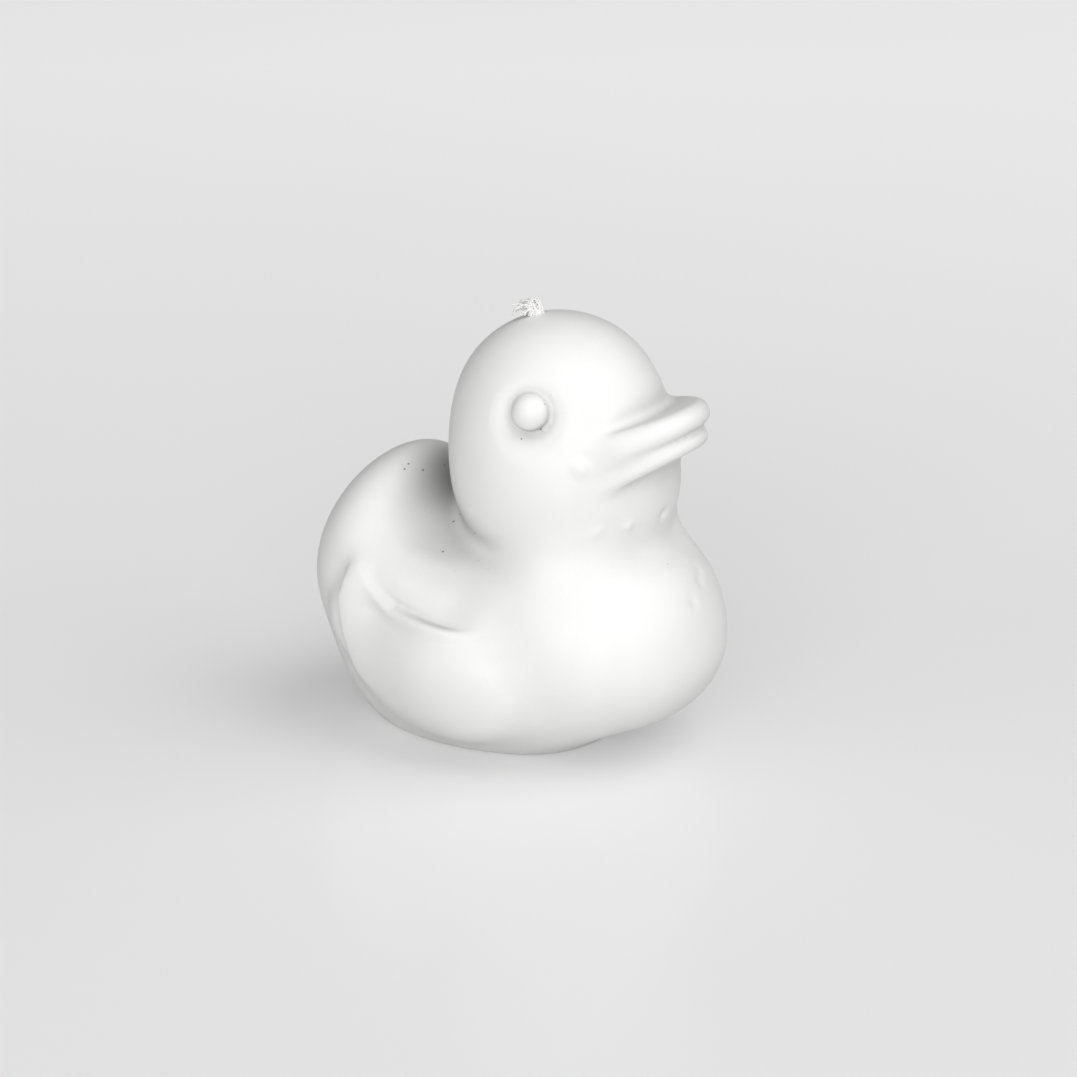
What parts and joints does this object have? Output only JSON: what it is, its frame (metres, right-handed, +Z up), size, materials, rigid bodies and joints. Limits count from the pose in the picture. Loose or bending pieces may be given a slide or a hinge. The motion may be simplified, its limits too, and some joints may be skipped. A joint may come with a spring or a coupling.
{
  "type": "duck-shaped candle",
  "caption": "Small wax candle cast in the shape of a bath duck, with folded wings, an upturned bill, round eyes, a flat base and a cotton wick at the crown.",
  "frame": {"origin": "on the base plane, under the middle of the bounding box", "axes": "+X the way the bill points, +Y to the duck's left, +Z up"},
  "size_m": [0.0482, 0.0374, 0.0505],
  "materials": {
    "wax": null,
    "cotton": "plaited undyed cotton, frayed at the end"
  },
  "bodies": {
    "root": {"wax_duck": "wax", "wick": "cotton"}
  },
  "joints": []
}
